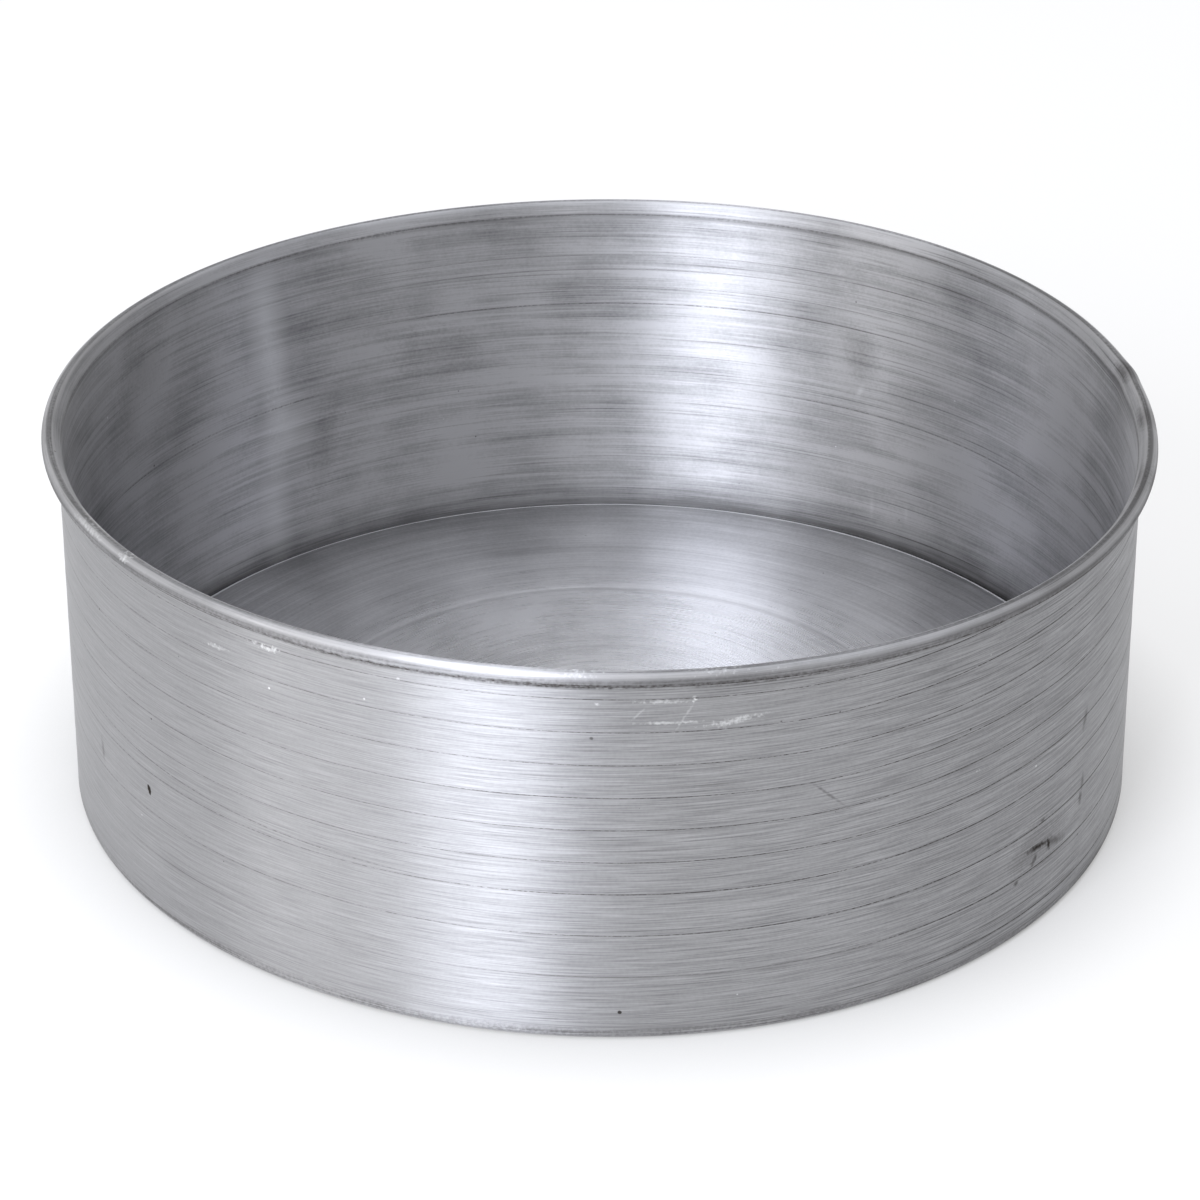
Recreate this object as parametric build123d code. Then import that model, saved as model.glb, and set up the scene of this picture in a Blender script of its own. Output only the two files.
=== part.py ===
from build123d import *
import os
from math import acos, asin, atan2, cos, degrees, hypot, radians, sin, tan

# A round loose-base cake tin, spun from aluminium sheet. Lengths are in millimetres and
# angles in degrees. The origin is the centre of the face that it rests on, with +Z up.

# The wall, its turned-in lip and the neck under the rim
wall_diameter = 280.0
tin_height = 101.5
wall_sheet = 1.0
corner_bend_radius = 1.2
lip_width = 9.0
neck_rise = 1.4

# The rim, rolled outwards round a wire
wire_diameter = 1.8
wire_clearance = 0.1
curl_end_gap = 0.6
wire_joint_gap = 0.5
wire_joint_azimuth = 16.0

# The loose base, a pressed disc with a turned-down skirt, that stands on the lip
base_sheet = 1.2
base_skirt = 2.6
base_bend_radius = 1.2
base_corner_clearance = 0.3

# The shallow ring pressed into the top of the base
ring_diameter = 163.0
ring_tool_radius = 1.0
ring_depth = 0.2

full_turn = 360.0
half_turn = 180.0
quarter_turn = 90.0

wall_radius = wall_diameter / 2
bore_radius = wall_radius - wall_sheet
lip_radius = wall_radius - lip_width
corner_radius = corner_bend_radius + wall_sheet
corner_centre_radius = wall_radius - corner_radius

curl_bore_radius = wire_diameter / 2 + wire_clearance
bead_radius = curl_bore_radius + wall_sheet
bead_centre_radius = wall_radius + bead_radius
bead_centre_height = tin_height - bead_radius
bead_centre = (bead_centre_radius, bead_centre_height)

# The skirt stands on the flat of the lip, clear of the rounded corner beside it.
base_radius = corner_centre_radius - base_corner_clearance
base_edge_radius = base_bend_radius + base_sheet
base_top = wall_sheet + base_skirt + base_edge_radius


def revolved(outline):
    """Turns a closed outline of radius and height about the tin's axis."""
    return revolve(Plane.XZ * make_face(outline), Axis.Z)


def on_circle(centre, radius, angle):
    """A point at an angle round a circle in the outline's plane."""
    return (centre[0] + radius * cos(radians(angle)), centre[1] + radius * sin(radians(angle)))


def make_tin_wall():
    """One spun sheet: the lip, the straight wall, the flared neck and the rolled rim."""
    # The neck leans out from the crease until it is tangent to the bead.
    reach = bead_centre_radius - bore_radius
    to_centre = degrees(atan2(neck_rise, reach))
    to_tangent = degrees(asin(bead_radius / hypot(reach, neck_rise)))
    flare = quarter_turn - to_centre - to_tangent
    crease_inside = bead_centre_height - neck_rise
    crease_outside = crease_inside - wall_sheet * tan(radians(flare / 2))

    # The curl stops short of closing, with a gap between its cut edge and the wall.
    curl_start = half_turn - flare
    curl_end = degrees(acos(1 - curl_end_gap / bead_radius)) - half_turn
    curl_sweep = curl_start - curl_end
    corner_centre = (corner_centre_radius, corner_radius)

    inside = [
        Line((lip_radius, wall_sheet), (corner_centre_radius, wall_sheet)),
        CenterArc(corner_centre, corner_bend_radius, -quarter_turn, quarter_turn),
        Line((bore_radius, corner_radius), (bore_radius, crease_inside)),
        Line((bore_radius, crease_inside), on_circle(bead_centre, bead_radius, curl_start)),
    ]
    curl = [
        CenterArc(bead_centre, bead_radius, curl_start, -curl_sweep),
        Line(
            on_circle(bead_centre, bead_radius, curl_end),
            on_circle(bead_centre, curl_bore_radius, curl_end),
        ),
        CenterArc(bead_centre, curl_bore_radius, curl_end, curl_sweep),
    ]
    outside = [
        Line(on_circle(bead_centre, curl_bore_radius, curl_start), (wall_radius, crease_outside)),
        Line((wall_radius, crease_outside), (wall_radius, corner_radius)),
        CenterArc(corner_centre, corner_radius, 0, -quarter_turn),
        Line((corner_centre_radius, 0), (lip_radius, 0)),
        Line((lip_radius, 0), (lip_radius, wall_sheet)),
    ]
    return revolved(inside + curl + outside)


def make_rim_wire():
    """The wire inside the rim, bent to a ring whose two ends meet at a butt joint."""
    gap_angle = degrees(wire_joint_gap / bead_centre_radius)
    section = Plane.XZ * Pos(bead_centre_radius, bead_centre_height) * Circle(wire_diameter / 2)
    ring = revolve(section, Axis.Z, full_turn - gap_angle)
    return Rot(0, 0, wire_joint_azimuth + gap_angle / 2) * ring


def make_loose_base():
    """The disc, its rounded edge and the short skirt that stands on the lip."""
    edge_centre = (base_radius - base_edge_radius, base_top - base_edge_radius)
    skirt_inside = base_radius - base_sheet
    underside = base_top - base_sheet
    outline = [
        Line((0, underside), (0, base_top)),
        Line((0, base_top), (edge_centre[0], base_top)),
        CenterArc(edge_centre, base_edge_radius, quarter_turn, -quarter_turn),
        Line((base_radius, edge_centre[1]), (base_radius, wall_sheet)),
        Line((base_radius, wall_sheet), (skirt_inside, wall_sheet)),
        Line((skirt_inside, wall_sheet), (skirt_inside, edge_centre[1])),
        CenterArc(edge_centre, base_bend_radius, 0, quarter_turn),
        Line((edge_centre[0], underside), (0, underside)),
    ]
    ring_height = base_top + ring_tool_radius - ring_depth
    ring = revolve(
        Plane.XZ * Pos(ring_diameter / 2, ring_height) * Circle(ring_tool_radius), Axis.Z
    )
    return revolved(outline) - ring


os.makedirs("parts", exist_ok=True)
pieces = {
    "tin_wall": make_tin_wall(),
    "rim_wire": make_rim_wire(),
    "loose_base": make_loose_base(),
}
for name, piece in pieces.items():
    export_step(piece, f"parts/{name}.step")
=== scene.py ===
"""The round loose-base cake tin, dressed: spun sheet, wired rim, pressed base and the marks of use.

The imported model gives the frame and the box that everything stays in. Lengths are in metres, unless
a name ends in mm, and azimuths are in degrees, anticlockwise from +X as seen from above.
"""

import logging
import math
from collections.abc import Iterable
from dataclasses import dataclass, field
from enum import Enum
from functools import partial
from typing import Any

import bmesh
import bpy
import numpy as np
from mathutils import Matrix, Vector


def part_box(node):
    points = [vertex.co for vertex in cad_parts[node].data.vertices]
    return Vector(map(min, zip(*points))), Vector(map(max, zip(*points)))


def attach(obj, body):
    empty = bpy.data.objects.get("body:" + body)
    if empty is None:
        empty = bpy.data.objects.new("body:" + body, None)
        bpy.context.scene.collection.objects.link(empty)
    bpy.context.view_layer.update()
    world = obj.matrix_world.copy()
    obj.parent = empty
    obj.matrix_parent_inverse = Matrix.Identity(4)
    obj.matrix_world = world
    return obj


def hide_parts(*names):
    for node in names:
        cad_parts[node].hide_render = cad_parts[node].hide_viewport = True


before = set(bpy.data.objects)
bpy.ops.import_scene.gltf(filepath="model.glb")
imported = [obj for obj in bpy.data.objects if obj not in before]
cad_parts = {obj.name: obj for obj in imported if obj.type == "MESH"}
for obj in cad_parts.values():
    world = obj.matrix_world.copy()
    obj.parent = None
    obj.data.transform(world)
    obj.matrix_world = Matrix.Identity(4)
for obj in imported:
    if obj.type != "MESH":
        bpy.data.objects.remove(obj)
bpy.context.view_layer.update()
MM = 0.001
FULL_TURN = 360.0
LOG = logging.getLogger("cake_tin")

Point = tuple[float, float]
Lobes = tuple[float, float, float]
Socket = bpy.types.NodeSocket
Tree = bpy.types.NodeTree
MATH = "ShaderNodeMath"
VECTOR = "ShaderNodeVectorMath"
APART = "ShaderNodeSeparateXYZ"
RANGE = "ShaderNodeMapRange"
NOISE = "ShaderNodeTexNoise"
MIX = "ShaderNodeMix"
SHARE, FIRST, SECOND = 0, 6, 7  # the inputs of a mix of two colours
# The wear and dirt values of an outline also carry painted highlight and painted shade.
OUTLINE_VALUES = ("along", "outward", "worn", "grime")
SAME_PLACE = 0.01 * MM
MERGE_GAP = 0.001 * MM
SHARP_ANGLE = 40.0
LINE_CORE, LINE_FRINGE = 0.3, 1.3  # where a thin line fades, in shares of its half-width
SCORE_FULL = 0.6  # the share of a long score that is not fading out
WALL_RADIUS = 140.0 * MM
MARK_REACH = 4.0 * MM  # how far a mark reaches through the sheet


class Side(Enum):
    """The two faces of the tin's sheet."""

    INSIDE = -1.0
    OUTSIDE = 1.0


class MarkKind(Enum):
    """What a single mark on the sheet is."""

    STAIN = "dirt, darker than the metal"
    SCRAPE = "bare metal in a row of bright dots"
    # A painted reflection: a lighter patch laid along a reflection streak.
    PAINTED_REFLECTION = "a soft lighter patch"


def colour(code: str) -> tuple[float, float, float, float]:
    """Turns an sRGB hex value to a linear colour.

    Args:
        code: six hex digits after a hash sign.

    Returns:
        Linear red, green and blue, with an alpha of one.
    """
    shares = (int(code[i : i + 2], 16) / 255 for i in (1, 3, 5))
    linear = (s / 12.92 if s <= 0.04045 else ((s + 0.055) / 1.055) ** 2.4 for s in shares)
    return (*linear, 1.0)


def add_node(tree: Tree, kind: str, inputs: Any = (), operation: str = "", **settings: Any) -> Socket | None:
    """Adds one node with its settings, values and links.

    Args:
        tree: the node tree that takes the node.
        kind: Blender's name for the node's type.
        inputs: values for the inputs, in order or by name. A socket is linked.
        operation: what a node that calculates does.
        settings: the node's other properties.

    Returns:
        The node's first output in use, whose node holds the others, or None where it has none.
    """
    node = tree.nodes.new(kind)
    for name, value in {"operation": operation, **settings}.items():
        if value != "":
            setattr(node, name, value)
    pairs = inputs.items() if isinstance(inputs, dict) else enumerate(inputs)
    for key, value in pairs:
        if isinstance(value, Socket):
            tree.links.new(value, node.inputs[key])
        else:
            node.inputs[key].default_value = value
    return next((output for output in node.outputs if output.enabled), None)


def empty_material(name: str) -> bpy.types.Material:
    """Makes a material whose node tree is still empty.

    Args:
        name: the material's name.

    Returns:
        The material.
    """
    made = bpy.data.materials.new(name)
    made.use_nodes = True
    made.node_tree.nodes.clear()
    return made


def arc(centre: Point, radius: float, start: float, sweep: float, steps: int) -> list[Point]:
    """Points along an arc of an outline, anticlockwise in degrees, both ends included."""
    angles = [math.radians(start + sweep * i / steps) for i in range(steps + 1)]
    return [(centre[0] + radius * math.cos(a), centre[1] + radius * math.sin(a)) for a in angles]


def run(start: Point, end: Point, steps: int) -> list[Point]:
    """Points along a straight stretch of an outline, both ends included."""
    shares = [i / steps for i in range(steps + 1)]
    return [tuple(a + (b - a) * s for a, b in zip(start, end)) for s in shares]


def scene_object(name: str, data: bpy.types.ID) -> bpy.types.Object:
    """Puts a mesh, a lamp or a camera into the scene as an object at the origin.

    Args:
        name: the object's name.
        data: its mesh, lamp or camera.

    Returns:
        The new object.
    """
    data.name = name
    thing = bpy.data.objects.new(name, data)
    bpy.context.scene.collection.objects.link(thing)
    return thing


def aimed(place: Vector, look: Vector) -> Matrix:
    """Gives the matrix of a lamp or a camera at a place, looking along a direction."""
    return Matrix.Translation(place) @ look.to_track_quat("-Z", "Y").to_matrix().to_4x4()


@dataclass
class Stretch:
    """Part of an outline: its points, which way it faces, and its wear and dirt from end to end, which also
    carry painted highlight and painted shade.
    """

    points: list[Point]
    outward: float = 0.0
    worn: tuple[float, float] = (0.0, 0.0)
    grime: tuple[float, float] = (0.0, 0.0)

    def rows(self) -> list[tuple[Point, float, float, float]]:
        """Gives each point with its values."""
        count = len(self.points)
        wear, dirt = np.linspace(*self.worn, count), np.linspace(*self.grime, count)
        return [(p, self.outward, float(w), float(g)) for p, w, g in zip(self.points, wear, dirt)]


@dataclass
class Outline:
    """A closed outline: radii and heights, the distance along it, and its values point by point."""

    points: list[Point]
    along: list[float]
    outward: list[float]
    worn: list[float]
    grime: list[float]

    @classmethod
    def joined(cls, stretches: list[Stretch]) -> "Outline":
        """Joins stretches end to end and closes the outline.

        Args:
            stretches: the stretches in order.

        Returns:
            The outline, with its first point repeated last.
        """
        kept = []
        for row in (row for stretch in stretches for row in stretch.rows()):
            if not kept or math.dist(kept[-1][0], row[0]) > SAME_PLACE:
                kept.append(row)
        if math.dist(kept[-1][0], kept[0][0]) > SAME_PLACE:
            kept.append(kept[0])
        points, outward, worn, grime = (list(column) for column in zip(*kept))
        steps = [math.dist(a, b) for a, b in zip(points, points[1:])]
        return cls(points, list(np.cumsum([0.0, *steps])), outward, worn, grime)


@dataclass(frozen=True)
class Dent:
    """A knock in the sheet: its middle, how far it stands out, and its half-lengths round and up."""

    azimuth: float = 0.0
    height: float = 0.0
    depth: float = 0.0
    half_round: float = 1.0
    half_up: float = 1.0


@dataclass(frozen=True)
class OutOfRound:
    """How far the spun sheet is from a true circle, after years of use.

    The radius swells and shrinks by lobes, two, three and four to the turn. Each lobe has its
    height at the rim and at the foot, and the azimuth of one of its bulges. Two knocks add to
    that: a kink over the joint of the rim's wire, and a dent at the back of the wall.
    """

    counts: Lobes = (2, 3, 4)
    at_rim: Lobes = (1.44 * MM, 1.14 * MM, 0.61 * MM)
    at_foot: Lobes = (0.11 * MM, 1.0 * MM, 0.05 * MM)
    azimuths: Lobes = (-48.8, 55.3, -43.9)
    rim_shift: Lobes = (0.38 * MM, 0.01 * MM, 0.0)
    foot_shift: Lobes = (0.36 * MM, -0.11 * MM, 0.0)
    kink: Dent = Dent(9.0, 99.5 * MM, 0.45 * MM, 6.0 * MM, 9.0 * MM)
    dent: Dent = Dent(57.0, 60.0 * MM, -0.35 * MM, 5.0 * MM, 10.0 * MM)


STILL = (0.0, 0.0, 0.0)
TRUE_ROUND = OutOfRound(
    at_rim=STILL, at_foot=STILL, rim_shift=STILL, foot_shift=STILL, kink=Dent(), dent=Dent()
)


class Lathe:
    """A tree of geometry nodes that turns an outline about the tin's axis, as a spinning lathe does."""

    SIZES = {
        "Segments": "Int",
        **dict.fromkeys(("Start", "Sweep", "Rim Height", "Sharp Angle"), "Float"),
        **dict.fromkeys(("Rim Lobes", "Foot Lobes", "Lobe Azimuths", "Rim Shift", "Foot Shift"), "Vector"),
        **dict.fromkeys(("Kink Place", "Kink Size", "Dent Place", "Dent Size"), "Vector"),
        "Finish": "Material",
    }

    def __init__(self, counts: Lobes) -> None:
        """Builds the tree for lobes of the given counts.

        Args:
            counts: how many lobes of each kind go round the turn.
        """
        self.tree = bpy.data.node_groups.new("turned_outline", "GeometryNodeTree")
        face = self.tree.interface
        face.new_socket("Outline", in_out="INPUT", socket_type="NodeSocketGeometry")
        self.keys = {
            name: face.new_socket(name, in_out="INPUT", socket_type="NodeSocket" + kind).identifier
            for name, kind in self.SIZES.items()
        }
        face.new_socket("Sheet", in_out="OUTPUT", socket_type="NodeSocketGeometry")
        self._wire(counts)

    def _wire(self, counts: Lobes) -> None:
        """Adds the nodes: a grid whose columns go round the axis and whose rows follow the outline.

        Args:
            counts: how many lobes of each kind go round the turn.
        """
        add = partial(add_node, self.tree)
        given = add("NodeGroupInput").node.outputs
        rows = add("GeometryNodeAttributeDomainSize", [given["Outline"]])
        columns = add(MATH, [given["Segments"], 1.0], "ADD")
        grid = add("GeometryNodeMeshGrid", {"Vertices X": columns, "Vertices Y": rows})
        index = add("GeometryNodeInputIndex")
        ratio = add(MATH, [index, rows], "DIVIDE")
        column = add(MATH, [ratio], "FLOOR")
        row = add(MATH, [index, rows], "MODULO")
        turn = add(MATH, [column, given["Segments"]], "DIVIDE")
        angle = add(MATH, [turn, given["Sweep"], given["Start"]], "MULTIPLY_ADD")

        here = add("GeometryNodeInputPosition")
        spot = self._sampled(given["Outline"], here, row, "FLOAT_VECTOR")
        parts = add(APART, [spot]).node.outputs
        share = add(MATH, [parts["Z"], given["Rim Height"]], "DIVIDE", use_clamp=True)
        lobes = self._between(given["Foot Lobes"], given["Rim Lobes"], share)
        shift = self._between(given["Foot Shift"], given["Rim Shift"], share)

        heights = add(APART, [lobes]).node.outputs
        bulges = add(APART, [given["Lobe Azimuths"]]).node.outputs
        radius = parts["X"]
        for count, height, bulge in zip(counts, heights, bulges):
            away = add(MATH, [angle, bulge], "SUBTRACT")
            phase = add(MATH, [away, float(count)], "MULTIPLY")
            wave = add(MATH, [phase], "COSINE")
            radius = add(MATH, [wave, height, radius], "MULTIPLY_ADD")
        for knock in ("Kink", "Dent"):
            place, size = given[knock + " Place"], given[knock + " Size"]
            radius = self._knocked(radius, angle, parts["Z"], place, size)

        level = []
        for name in ("COSINE", "SINE"):
            part = add(MATH, [angle], name)
            level.append(add(MATH, [part, radius], "MULTIPLY"))
        ring = add("ShaderNodeCombineXYZ", [*level, parts["Z"]])
        target = add(VECTOR, [ring, shift], "ADD")
        turned = add("GeometryNodeSetPosition", {"Geometry": grid, "Position": target})
        self._finish(turned, row, given)

    def _knocked(self, radius: Socket, angle: Socket, height: Socket, place: Socket, size: Socket) -> Socket:
        """Adds a knock, deepest in its middle and dying away round it.

        Args:
            radius: the radius before it.
            angle: each point's azimuth.
            height: each point's height.
            place: the knock's azimuth, height and depth.
            size: its half-length round and its half-length up.

        Returns:
            The radius with it.
        """
        add = partial(add_node, self.tree)
        middle = add(APART, [place]).node.outputs
        half = add(APART, [size]).node.outputs
        turn = add(MATH, [angle, middle["X"]], "SUBTRACT")
        arc_off = add(MATH, [turn, radius], "MULTIPLY")
        rise_off = add(MATH, [height, middle["Y"]], "SUBTRACT")
        far: Any = 0.0
        for off, reach in ((arc_off, half["X"]), (rise_off, half["Y"])):
            share = add(MATH, [off, reach], "DIVIDE")
            far = add(MATH, [share, share, far], "MULTIPLY_ADD")
        away = add(MATH, [far, -1.0], "MULTIPLY")
        fall = add(MATH, [away], "EXPONENT")
        return add(MATH, [fall, middle["Z"], radius], "MULTIPLY_ADD")

    def _sampled(self, outline: Socket, value: Socket, row: Socket, kind: str) -> Socket:
        """Reads a value of the outline, of a data type, at each point's row."""
        inputs = {"Geometry": outline, "Value": value, "Index": row}
        return add_node(self.tree, "GeometryNodeSampleIndex", inputs, data_type=kind)

    def _between(self, low: Socket, high: Socket, share: Socket) -> Socket:
        """Mixes two vectors.

        Args:
            low: the vector at a share of zero.
            high: the vector at a share of one.
            share: how far between them.

        Returns:
            The mixed vector's socket.
        """
        rise = add_node(self.tree, VECTOR, [high, low], "SUBTRACT")
        part = add_node(self.tree, VECTOR, {0: rise, "Scale": share}, "SCALE")
        return add_node(self.tree, VECTOR, [part, low], "ADD")

    def _finish(self, turned: Socket, row: Socket, given: Any) -> None:
        """Keeps the outline's own values, closes the seams, shades, and gives the finish.

        Args:
            turned: the turned grid.
            row: each point's place in the outline.
            given: the tree's inputs.
        """
        add = partial(add_node, self.tree)
        sheet = turned
        for name in OUTLINE_VALUES:
            value = add("GeometryNodeInputNamedAttribute", [name])
            read = self._sampled(given["Outline"], value, row, "FLOAT")
            stored = {"Geometry": sheet, "Name": name, "Value": read}
            sheet = add("GeometryNodeStoreNamedAttribute", stored)
        closed = add("GeometryNodeMergeByDistance", {"Geometry": sheet, "Distance": MERGE_GAP})
        smooth = add("GeometryNodeSetShadeSmooth", [closed])
        bend = add("GeometryNodeInputMeshEdgeAngle")
        soft = add("FunctionNodeCompare", [bend, given["Sharp Angle"]], "LESS_THAN")
        edges = {"Geometry": smooth, "Shade Smooth": soft}
        edged = add("GeometryNodeSetShadeSmooth", edges, domain="EDGE")
        whole = add("GeometryNodeRealizeInstances", [edged])
        dressed = add("GeometryNodeSetMaterial", {"Geometry": whole, "Material": given["Finish"]})
        add("NodeGroupOutput", [dressed])

    def turn(
        self,
        name: str,
        outline: Outline,
        finish: bpy.types.Material,
        segments: int,
        shape: OutOfRound,
        rim_height: float,
        start: float = 0.0,
        sweep: float = FULL_TURN,
    ) -> bpy.types.Object:
        """Turns an outline and returns the plain, closed piece.

        Args:
            name: the piece's name.
            outline: the closed outline.
            finish: the piece's material.
            segments: how many facets go round.
            shape: how far from round the piece is.
            rim_height: the height where the rim's lobes hold in full.
            start: the azimuth that the turn starts at.
            sweep: how far it turns.

        Returns:
            The piece, at the origin and with no modifier.
        """
        mesh = bpy.data.meshes.new(name)
        mesh.from_pydata([(r, 0.0, z) for r, z in outline.points], [], [])
        for key in OUTLINE_VALUES:
            mesh.attributes.new(key, "FLOAT", "POINT").data.foreach_set("value", getattr(outline, key))
        source = scene_object(name + "_outline", mesh)
        modifier = source.modifiers.new("lathe", "NODES")
        modifier.node_group = self.tree
        values = {
            "Segments": segments,
            "Start": math.radians(start),
            "Sweep": math.radians(sweep),
            "Rim Height": rim_height,
            "Rim Lobes": shape.at_rim,
            "Foot Lobes": shape.at_foot,
            "Lobe Azimuths": tuple(math.radians(a) for a in shape.azimuths),
            "Rim Shift": shape.rim_shift,
            "Foot Shift": shape.foot_shift,
            "Sharp Angle": math.radians(SHARP_ANGLE),
            "Finish": finish,
        }
        for key, knock in (("Kink", shape.kink), ("Dent", shape.dent)):
            values[key + " Place"] = (math.radians(knock.azimuth), knock.height, knock.depth)
            values[key + " Size"] = (knock.half_round, knock.half_up, 0.0)
        for key, value in values.items():
            modifier[self.keys[key]] = value
        return plain_piece(name, source, close=sweep < FULL_TURN)


def plain_piece(name: str, source: bpy.types.Object, close: bool = False) -> bpy.types.Object:
    """Turns an object with a live tree into a plain mesh piece and removes the source.

    Args:
        name: the piece's name.
        source: the object that carries the modifier.
        close: whether open ends get a cap.

    Returns:
        The plain piece, with its faces pointing outwards.
    """
    graph = bpy.context.evaluated_depsgraph_get()
    mesh = bpy.data.meshes.new_from_object(source.evaluated_get(graph), depsgraph=graph)
    old = source.data
    source.modifiers.clear()
    bpy.data.objects.remove(source)
    bpy.data.meshes.remove(old)
    work = bmesh.new()
    work.from_mesh(mesh)
    if close:
        bmesh.ops.holes_fill(work, edges=[e for e in work.edges if e.is_boundary])
    bmesh.ops.recalc_face_normals(work, faces=work.faces)
    work.to_mesh(mesh)
    work.free()
    return scene_object(name, mesh)


class Ground:
    """What a sheet's patterns are drawn on: the material's tree, coordinates, faces and noises.

    The flank is lower on the tin's left, where the lines are calm. The soil is higher on its right.
    """

    def __init__(self, tree: Tree, finish: "SpunAluminium") -> None:
        """Reads the coordinates and the outline's values, and draws the noises that patterns share.

        Args:
            tree: the material's tree.
            finish: the finish, which says how large the noises are.
        """
        self.tree = tree
        self.place = add_node(tree, "ShaderNodeTexCoord").node.outputs["Object"]
        self.parts = add_node(tree, APART, [self.place]).node.outputs
        self.azimuth = add_node(tree, MATH, [self.parts["Y"], self.parts["X"]], "ARCTAN2")
        # The wear and dirt values also carry painted highlight and painted shade.
        self.along, self.outward, self.worn, self.grime = (
            add_node(tree, "ShaderNodeAttribute", attribute_name=name).node.outputs["Fac"]
            for name in OUTLINE_VALUES
        )
        self.inward = add_node(tree, MATH, [1.0, self.outward], "SUBTRACT")
        self.patch = self.noise(self.place, finish.patch_mm, 3.0)
        self.speck = self.noise(self.place, finish.speck_mm, 2.0)
        self.flank = self.rightward(finish.calm_mm, finish.left_calm, 1.0)
        self.soil = self.rightward(finish.soil_mm, 0.0, finish.right_grime)

    def noise(self, place: Socket, size_mm: float, detail: float) -> Socket:
        """Draws noise from minus to plus a half, of a size in mm where the coordinates are metres."""
        raw = add_node(self.tree, NOISE, {"Vector": place, "Scale": 1 / (size_mm * MM), "Detail": detail})
        return add_node(self.tree, MATH, [raw, 0.5], "SUBTRACT")

    def rightward(self, span_mm: tuple[float, float], left: float, right: float) -> Socket:
        """Changes a strength from the tin's left to its right, between two places in mm."""
        return add_node(self.tree, RANGE, [self.parts["X"], *(x * MM for x in span_mm), left, right])

    def by_face(self, inside: float, outside: Any) -> Socket:
        """Picks a strength by the face of the sheet."""
        return add_node(self.tree, RANGE, [self.outward, 0.0, 1.0, inside, outside])

    def face(self, side: Side) -> Socket:
        """Gives the value that is one on a face of the tin and zero on the other."""
        return self.outward if side is Side.OUTSIDE else self.inward

    def thin_line(self, gap: Socket, half: float) -> Socket:
        """Draws a line that is one in its middle and fades out at its half-width."""
        return add_node(self.tree, RANGE, [gap, LINE_CORE * half, LINE_FRINGE * half, 1.0, 0.0])

    def total(self, terms: Iterable[tuple[Socket, Any]], start: Any = 0.0, clamp: bool = True) -> Socket:
        """Adds weighted patterns.

        Args:
            terms: each pattern with its weight, a number or a socket.
            start: what the sum starts from.
            clamp: whether the result is kept between zero and one.

        Returns:
            The sum.
        """
        for pattern, weight in terms:
            start = add_node(self.tree, MATH, [pattern, weight, start], "MULTIPLY_ADD")
        start.node.use_clamp = clamp
        return start


@dataclass(frozen=True)
class Hairlines:
    """One layer of the fine lines round the sheet, with its strength on the tin's two faces."""

    width_mm: float
    length_mm: float
    outside: float
    inside: float
    relief: float


@dataclass(frozen=True)
class Score:
    """One long thin score round the wall, from a slipped tool or a utensil."""

    side: Side
    height_mm: float
    azimuth: float
    half_span: float
    climb_mm: float = 0.0
    width_mm: float = 0.4
    strength: float = 0.5

    def drawn(self, ground: Ground) -> Socket:
        """Draws the score.

        Args:
            ground: what the sheet's patterns are drawn on.

        Returns:
            One on the score and zero off it.
        """
        add = partial(add_node, ground.tree)
        span = math.radians(self.half_span)
        away = add(MATH, [ground.azimuth, math.radians(self.azimuth)], "SUBTRACT")
        climb = -self.climb_mm * MM / (2 * span)
        level = add(MATH, [away, climb, ground.parts["Z"]], "MULTIPLY_ADD")
        off = add(MATH, [level, self.height_mm * MM], "SUBTRACT")
        gap = add(MATH, [off], "ABSOLUTE")
        line = ground.thin_line(gap, self.width_mm * MM / 2)
        far = add(MATH, [away], "ABSOLUTE")
        window = add(RANGE, [far, SCORE_FULL * span, span, 1.0, 0.0])
        return add(MATH, [line, window], "MULTIPLY")


@dataclass(frozen=True)
class FeedGrooves:
    """The fine grooves that the spinning tool left round the outside of the wall as it was fed up.

    They lie at even steps, are further apart and fainter near the foot, and climb on the tin's right.
    """

    step_mm: float = 8.7
    lowest_mm: float = 6.4
    wide_below_mm: float = 40.8
    squeeze: float = 0.24
    climb_mm: float = 3.9
    climb_over_mm: float = 95.0
    climb_from_mm: float = 45.0
    climb_to_mm: float = 132.0
    width_mm: float = 0.30
    strength: float = 0.95
    foot_share: float = 0.2
    foot_from_mm: float = 8.0
    foot_to_mm: float = 34.0
    soil_gain: float = 3.0

    def drawn(self, ground: Ground) -> Socket:
        """Draws the grooves.

        Args:
            ground: what the sheet's patterns are drawn on.

        Returns:
            One on a groove in full, less where it is faint, and zero off it.
        """
        tree, height = ground.tree, ground.parts["Z"]
        tilt = -self.climb_mm / self.climb_over_mm
        climb = [ground.parts["X"], self.climb_from_mm * MM, self.climb_to_mm * MM, 0.0, tilt]
        side = add_node(tree, RANGE, climb, interpolation_type="SMOOTHSTEP")
        true = add_node(tree, MATH, [height, side, height], "MULTIPLY_ADD")
        below = add_node(tree, MATH, [self.wide_below_mm * MM, true], "SUBTRACT")
        under = add_node(tree, MATH, [below, 0.0], "MAXIMUM")
        even = add_node(tree, MATH, [under, self.squeeze, true], "MULTIPLY_ADD")
        lowest = self.lowest_mm + self.squeeze * (self.wide_below_mm - self.lowest_mm)
        steps = [even, 1 / (self.step_mm * MM), -lowest / self.step_mm]
        count = add_node(tree, MATH, steps, "MULTIPLY_ADD")
        off = add_node(tree, MATH, [count, 0.5], "PINGPONG")
        lines = ground.thin_line(off, self.width_mm / self.step_mm / 2)
        rise = [height, self.foot_from_mm * MM, self.foot_to_mm * MM, self.foot_share, 1.0]
        shown = ground.total([(ground.soil, self.soil_gain)], add_node(tree, RANGE, rise))
        depth = add_node(tree, MATH, [shown, ground.flank], "MULTIPLY")
        return add_node(tree, MATH, [lines, depth], "MULTIPLY")


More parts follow.
